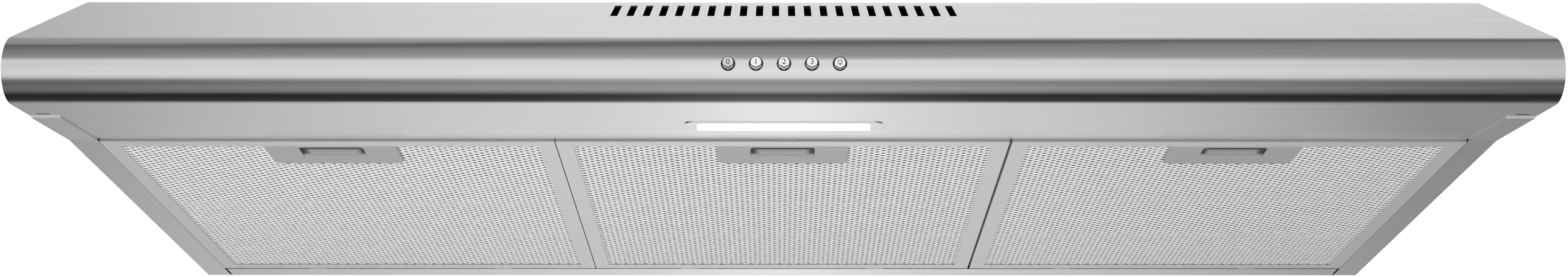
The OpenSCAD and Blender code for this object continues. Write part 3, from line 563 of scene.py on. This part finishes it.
def build_scoop(i, pull, front, rear, place):
    """Latch slide: a dished finger pull, deep at the front, with its bolt towards the lamp panel."""
    low, high = SKIN + 0.1 * MM, FILTER_T - SKIN - 0.9 * MM
    columns, rows = 34, 20
    half, y0, y1 = pull + 2.9 * MM, SKIN + 0.2 * MM, rear + 4 * MM
    xs = np.linspace(-half, half, columns + 1)
    ys = np.concatenate([[y0], np.linspace(front - 0.8 * MM, rear + 0.4 * MM, rows - 2), [y1 - 1 * MM, y1]])
    deep = 1.5 * MM

    def dish(x, y):
        side = ease((pull + 0.6 * MM - abs(x)) / (2.4 * MM))
        fore = ease((y - front + 0.6 * MM) / (1.2 * MM))
        aft = ease((rear - 1.0 * MM - y) / (rear - front - 3 * MM))
        return low + deep * side * fore * aft
    n, m = len(xs), len(ys)
    verts = [(x, y, dish(x, y)) for y in ys for x in xs] + [(x, y, high) for y in ys for x in xs]
    faces = []
    for j in range(m - 1):
        for k in range(n - 1):
            a = j * n + k
            faces.append((a, a + n, a + n + 1, a + 1))
            b = a + n * m
            faces.append((b, b + 1, b + n + 1, b + n))
    rim = [k for k in range(n)] + [j * n + n - 1 for j in range(1, m)]
    rim += [(m - 1) * n + k for k in range(n - 2, -1, -1)] + [j * n for j in range(m - 2, 0, -1)]
    for a, b in zip(rim, rim[1:] + rim[:1]):
        faces.append((a, b, b + n * m, a + n * m))
    bolt = [(-8 * MM, SKIN), (-8 * MM, 1 * MM - FILTER_GAP), (8 * MM, 1 * MM - FILTER_GAP), (8 * MM, SKIN)]
    bolt = prism(bolt, SHEET + 2.2 * MM, SHEET + 5.2 * MM, "z")
    scoop = add_object(f"latch_scoop_{i}", *joined([(verts, faces), bolt]), PAINTED_RECESS)
    outward(scoop)
    # painted shade: the dish's colour is darkened under its front edge, at both ends and gently towards the front,
    # standing in for the shadow inside the finger pull
    shade = scoop.data.attributes.new("painted_recess_shade", "FLOAT", "POINT")
    for k, v in enumerate(scoop.data.vertices):
        x, y, z = v.co
        inside = ease((pull + 1.0 * MM - abs(x)) / (0.8 * MM)) * ease((rear - 0.5 * MM - y) / (2 * MM))
        fore = 1 - ease((y - front - 8.2 * MM) / (3.0 * MM))
        ends = ease((abs(x) - pull + 6.5 * MM) / (4.5 * MM)) * ease((rear + 1 * MM - y) / (5 * MM))
        fall = 0.35 * ease((rear - y) / (rear - front - 5 * MM))
        shade.data[k].value = inside * max(fore, ends, fall) if z < high - MM and y > front - 1 * MM else 0.0
    scoop.data.shade_smooth()
    scoop.data.set_sharp_from_angle(angle=math.radians(40))
    scoop.matrix_world = place
    return scoop


def build_handle_plates():
    """Pressed plate on the filter's front border; its opening runs out softly at the rear, over the latch slide."""
    for i, body in FILTER_BODIES.items():
        plate_lo, plate_hi = span(f"handle_plate_{i}")
        slide_lo, slide_hi = span(f"latch_slide_{i}")
        half = (plate_hi.x - plate_lo.x) / 2
        pull = (slide_hi.x - slide_lo.x) / 2 - 3 * MM
        depth, pull_depth, corner = 36 * MM, 19 * MM, 6 * MM
        low, high = -0.4 * MM, SKIN
        y0, y1 = BORDER, BORDER + depth
        inner0, inner1 = BORDER + 0.9 * MM, BORDER + 0.8 * MM + pull_depth
        steps = 8
        outer = [(-half, y0), (half, y0)]
        outer += [(half - corner + corner * math.cos(a), y1 - corner + corner * math.sin(a))
                  for a in np.linspace(0, math.pi / 2, steps)]
        outer += [(-half + corner - corner * math.sin(a), y1 - corner + corner * math.cos(a))
                  for a in np.linspace(0, math.pi / 2, steps)]
        r = 3.2 * MM
        quarter = np.linspace(0, math.pi / 2, steps)
        inner = [(-pull + r - r * math.cos(a), inner0 + r - r * math.sin(a)) for a in quarter]
        inner += [(pull - r + r * math.sin(a), inner0 + r - r * math.cos(a)) for a in quarter]
        inner += [(pull, inner1), (-pull, inner1)]
        place = filter_matrix(i)
        curve = add_object(f"handle_plate_blank_{i}", *prism(outer, low, high, "z"), HANDLE)
        outward(curve)
        tool_low, tool_high = low - 1 * MM, high + 1 * MM
        # the opening's wall leans back at the rear, so the plate feathers out to the slide there
        grow = lambda z: (high - z) / (high - low)
        ring = lambda z: [(x, y + (0 if y < inner1 - 0.5 * MM else 5.0 * MM * grow(z))) for x, y in inner]
        n = len(inner)
        verts = [(x, y, tool_low) for x, y in ring(low - 0.2 * MM)] + [(x, y, low) for x, y in ring(low)]
        verts += [(x, y, high) for x, y in ring(high)] + [(x, y, tool_high) for x, y in ring(high)]
        faces = [tuple(range(n - 1, -1, -1)), tuple(range(3 * n, 4 * n))]
        for level in range(3):
            b = level * n
            faces += [(b + k, b + (k + 1) % n, b + n + (k + 1) % n, b + n + k) for k in range(n)]
        tool = add_object("opening", verts, faces, None)
        outward(tool)
        cut = curve.modifiers.new("opening", "BOOLEAN")
        cut.operation, cut.solver, cut.object = "DIFFERENCE", "EXACT", tool
        apply_modifiers(curve)
        bpy.data.objects.remove(tool, do_unlink=True)
        curve.matrix_world = place
        bevel(curve, 0.2 * MM)
        paint(curve, HANDLE)
        scoop = build_scoop(i, pull, inner0, inner1, place)
        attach(scoop, body.replace("filter", "latch"))
        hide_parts(f"latch_slide_{i}")
        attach(curve, body)
        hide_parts(f"handle_plate_{i}")


build_handle_plates()


# ---------------------------------------------------------------- buttons
def build_buttons():
    for k, name in enumerate(BUTTONS):
        lo, hi = span(name)
        cx = (lo.x + hi.x) / 2
        front, back = lo.y, hi.y
        arc = [math.radians(a) for a in range(-38, 219, 8)]
        outline = [(cx + BUTTON_R * math.cos(a), NOSE_Z + BUTTON_R * math.sin(a)) for a in arc]
        outline.append((cx, NOSE_Z - BUTTON_R * 0.98))
        face = CAP_OFF if k == 0 else CAP
        cap = add_object(f"{name}_cap", *prism(outline, front, front + 7.6 * MM, "y"), face)
        outward(cap)
        # painted shade: the bevelled rim of each cap takes the near-black rim finish
        cap.data.materials.append(CAP_RIM_PAINTED_SHADE)
        bevel(cap, 0.5 * MM, 2, 50).material = 1
        rod = prism(circle(2 * MM, 32, cx, NOSE_Z), front + 7 * MM, back, "y")
        stem = add_object(f"{name}_stem", *rod, ZINC, 40)
        outward(stem)
        for piece in (cap, stem):
            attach(piece, name)
            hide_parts(name)
        sign = legend(name, k, cx, front)
        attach(sign, name)


def legend(name, k, cx, front):
    """Thin printed sign on a button's face: a digit, or a bulb with its cap."""
    if k < 4:
        text = bpy.data.curves.new(f"{name}_sign", "FONT")
        text.body = str(k)
        text.size = 4.9 * MM
        text.align_x = "CENTER"
        text.align_y = "CENTER"
        text.extrude = 0.03 * MM
        source = bpy.data.objects.new(f"{name}_text", text)
        bpy.context.scene.collection.objects.link(source)
        bpy.context.view_layer.update()
        me = bpy.data.meshes.new_from_object(source.evaluated_get(bpy.context.evaluated_depsgraph_get()))
        bpy.data.objects.remove(source, do_unlink=True)
        sign = bpy.data.objects.new(f"{name}_sign", me)
        bpy.context.scene.collection.objects.link(sign)
        sign.matrix_world = (Matrix.Translation((cx, front - 0.02 * MM, NOSE_Z + 0.1 * MM))
                             @ Matrix.Rotation(math.radians(90), 4, "X"))
    else:
        top = NOSE_Z + 0.5 * MM
        n = 28
        outer, inner = circle(1.35 * MM, n, cx, top), circle(0.95 * MM, n, cx, top)
        y0, y1 = front - 0.05 * MM, front + 0.02 * MM
        verts = [(p[0], y, p[1]) for y in (y0, y1) for ring in (outer, inner) for p in ring]
        faces = []
        for a in range(n):
            b = (a + 1) % n
            faces += [(a, b, n + b, n + a), (2 * n + b, 2 * n + a, 3 * n + a, 3 * n + b),
                      (b, a, 2 * n + a, 2 * n + b), (n + a, n + b, 3 * n + b, 3 * n + a)]
        foot = [(cx - 0.6 * MM, top - 1.9 * MM), (cx + 0.6 * MM, top - 1.9 * MM), (cx + 0.6 * MM, top - 1.45 * MM),
                (cx - 0.6 * MM, top - 1.45 * MM)]
        sign = add_object(f"{name}_sign", *joined([(verts, faces), prism(foot, y0, y1, "y")]), None)
        outward(sign)
    paint(sign, LEGEND)
    return sign


build_buttons()


# ---------------------------------------------------------------- finishes of the CAD pieces
FINISH = {
    "side_panel": STEEL_SIDE, "rear_panel": STEEL, "lamp_bezel": STEEL, "brace": GALVANISED, "rivets": ZINC,
    "lamp_lens": LENS, "lamp_housing": GALVANISED, "led_board": WHITE, "led_driver": WHITE, "switch_body": BLACK,
    "switch_bracket": GALVANISED, "filter_frame": FRAME_ALU, "handle_plate": HANDLE, "latch_slide": HANDLE,
    "latch_spring": SPRING, "strike": SPRING, "duct_collar": GALVANISED, "damper": GALVANISED, "vent_shutter": DUCT_PAINTED_SHADE,
    "shutter_rails": DUCT_PAINTED_SHADE, "recirculation_duct": DUCT_PAINTED_SHADE, "blower_top": GALVANISED,
    "blower_bottom": GALVANISED, "inlet_rings": BLACK, "blower_screws": ZINC, "motor_housing": ZINC,
    "motor_stator": COPPER, "motor_rotor": ROTOR, "motor_shaft": ZINC, "motor_bracket": GALVANISED,
    "fan_wheel": BLACK, "capacitor": WHITE, "terminal_box": GALVANISED, "terminal_cover": GALVANISED,
    "cable_grommet": RUBBER, "internal_wiring": WIRE, "canopy_shell": STEEL, "filter_mesh": CORE_PAINTED_SHADE, "button": CAP}
EDGES = {"side_panel": 0.35, "filter_frame": 0.3, "handle_plate": 0.25, "latch_slide": 0.3, "lamp_bezel": 0.25,
         "duct_collar": 0.3, "blower": 0.3, "terminal": 0.3, "capacitor": 0.8, "switch_body": 0.4, "led_driver": 0.6,
         "lamp_lens": 0.3}
for name, obj in nodes.items():
    key = max((k for k in FINISH if name.startswith(k)), key=len)
    paint(obj, FINISH[key])
    for part, width in EDGES.items():
        if name.startswith(part):
            bevel(obj, width * MM)
            break

# ---------------------------------------------------------------- surroundings
# studio light by direction, as an arc in the plane across the hood: 0 front, 90 up, 180 back, -90 down.
# degrees, level, fade towards the left, fade towards the right, weight of the lamp's glow
STUDIO = [
    (-180, 0.72, 0.05, 0.00, 0.1), (-171, 0.76, 0.50, 0.80, 1.0),
    (-150, 0.76, 0.50, 0.80, 1.0), (-136, 0.05, 0.20, 0.10, 0.8),
    (-97, 0.01, 0.20, 0.10, 0.5), (-86, 0.28, 0.60, 0.62, 0.5), (-72, 0.39, 0.60, 0.62, 0.5),
    (-52, 0.27, 0.60, 0.62, 0.4), (-43, 0.33, 0.55, 0.60, 0.3), (-34, 0.84, 0.12, 0.20, 0.2),
    (-10, 0.92, 0.12, 0.22, 0.0), (8, 0.80, 0.12, 0.20, 0.0),
    (22, 0.90, 0.12, 0.22, 0.0), (33, 0.38, 0.20, 0.10, 0.0),
    (78, 0.24, 0.20, 0.05, 0.0), (92, 0.11, 0.00, 0.00, 0.0), (107, 0.13, 0.00, 0.00, 0.0),
    (122, 0.42, 0.20, 0.05, 0.0), (140, 0.52, 0.34, 0.05, 0.0), (149, 0.88, 0.42, 0.05, 0.0),
    (165, 0.88, 0.42, 0.05, 0.0), (180, 0.72, 0.05, 0.00, 0.1)]


def build_world():
    """Studio light that depends on direction alone. Rays straight from the camera see plain white."""
    world = bpy.data.worlds.new("studio")
    bpy.context.scene.world = world
    world.use_nodes = True
    tree = world.node_tree
    tree.nodes.clear()
    links = tree.links
    op = lambda kind, a, b=None: math_node(tree, kind, a, b)
    place = tree.nodes.new("ShaderNodeTexCoord")
    split = tree.nodes.new("ShaderNodeSeparateXYZ")
    links.new(place.outputs["Generated"], split.inputs[0])
    x = split.outputs["X"]
    turn = op("ARCTAN2", split.outputs["Z"], op("MULTIPLY", split.outputs["Y"], -1.0))
    # the dark band overhead leans: it lies further back on the right than on the left
    near_top = op("MAXIMUM", op("SUBTRACT", 1.0, op("DIVIDE", op("ABSOLUTE", op("SUBTRACT", turn, 1.7)), 0.95)), 0.0)
    turn = op("SUBTRACT", turn, op("MULTIPLY", op("MULTIPLY", x, 1.7), near_top))
    ramp = tree.nodes.new("ShaderNodeValToRGB")
    links.new(op("ADD", op("DIVIDE", turn, 2 * math.pi), 0.5), ramp.inputs["Fac"])
    elements = ramp.color_ramp.elements
    for i, (degrees, *values) in enumerate(STUDIO):
        e = elements[i] if i < 2 else elements.new((degrees + 180) / 360)
        e.position = (degrees + 180) / 360
        e.color = values
    parts = tree.nodes.new("ShaderNodeSeparateColor")
    links.new(ramp.outputs["Color"], parts.inputs["Color"])
    level, left, right = parts.outputs
    x2 = op("MULTIPLY", x, x)
    on_right = op("GREATER_THAN", x, 0.0)
    fade_rate = op("ADD", op("MULTIPLY", left, op("SUBTRACT", 1.0, on_right)), op("MULTIPLY", right, on_right))
    fade = op("MAXIMUM", op("SUBTRACT", 1.0, op("MULTIPLY", op("MULTIPLY", fade_rate, 10.0), x2)), 0.40)
    glow = op("MULTIPLY", op("EXPONENT", op("MULTIPLY", x2, -600.0)), op("MULTIPLY", ramp.outputs["Alpha"], 0.22))
    lit = tree.nodes.new("ShaderNodeBackground")
    links.new(op("ADD", op("MULTIPLY", level, fade), glow), lit.inputs["Strength"])
    plain = tree.nodes.new("ShaderNodeBackground")
    plain.inputs["Color"].default_value = (1, 1, 1, 1)
    lit.inputs["Color"].default_value = (1, 1, 1, 1)
    path = tree.nodes.new("ShaderNodeLightPath")
    mix = tree.nodes.new("ShaderNodeMixShader")
    links.new(path.outputs["Is Camera Ray"], mix.inputs["Fac"])
    links.new(lit.outputs[0], mix.inputs[1])
    links.new(plain.outputs[0], mix.inputs[2])
    out = tree.nodes.new("ShaderNodeOutputWorld")
    links.new(mix.outputs[0], out.inputs["Surface"])


def area_light(name, where, target, size, power):
    light = bpy.data.lights.new(name, "AREA")
    light.shape = "RECTANGLE"
    light.size, light.size_y = size
    light.energy = power
    obj = bpy.data.objects.new(name, light)
    bpy.context.scene.collection.objects.link(obj)
    obj.location = where
    obj.rotation_euler = (Vector(target) - Vector(where)).to_track_quat("-Z", "Y").to_euler()
    obj.visible_glossy = False
    obj.visible_camera = False
    return obj


FLOOR_Z, FLOOR_HALF = -1.35, 4
CAMERA_Y, CAMERA_DROP, CAMERA_PITCH, CAMERA_YAW = -1.530, 0.2585, 10.8, -0.14

build_world()
area_light("key", (-0.7, -1.6, 0.2), (0, 0, -0.1), (1.6, 0.8), 8)
area_light("fill_below", (-0.12, -0.6, -1.2), (0, 0, -0.1), (2.0, 1.2), 29)

floor_corners = [(x * FLOOR_HALF, y * FLOOR_HALF, FLOOR_Z) for x, y in ((-1, -1), (1, -1), (1, 1), (-1, 1))]
floor = add_object("floor", floor_corners, [(0, 1, 2, 3)],
                   finish_of("pale_floor", (0.82, 0.82, 0.82), 0.0, 0.7, 0.02, 0.05, 3.0, bump=0.0))
floor.visible_glossy = False
floor.visible_diffuse = False

camera = bpy.data.cameras.new("camera")
camera.lens = 50.31
camera.sensor_width = 36
camera_object = bpy.data.objects.new("camera", camera)
bpy.context.scene.collection.objects.link(camera_object)
camera_object.location = (-0.003, CAMERA_Y, FRONT_Z - CAMERA_DROP)
camera_object.rotation_euler = (math.radians(90 + CAMERA_PITCH), 0, math.radians(CAMERA_YAW))
bpy.context.scene.camera = camera_object
bpy.context.scene.view_settings.view_transform = "Standard"
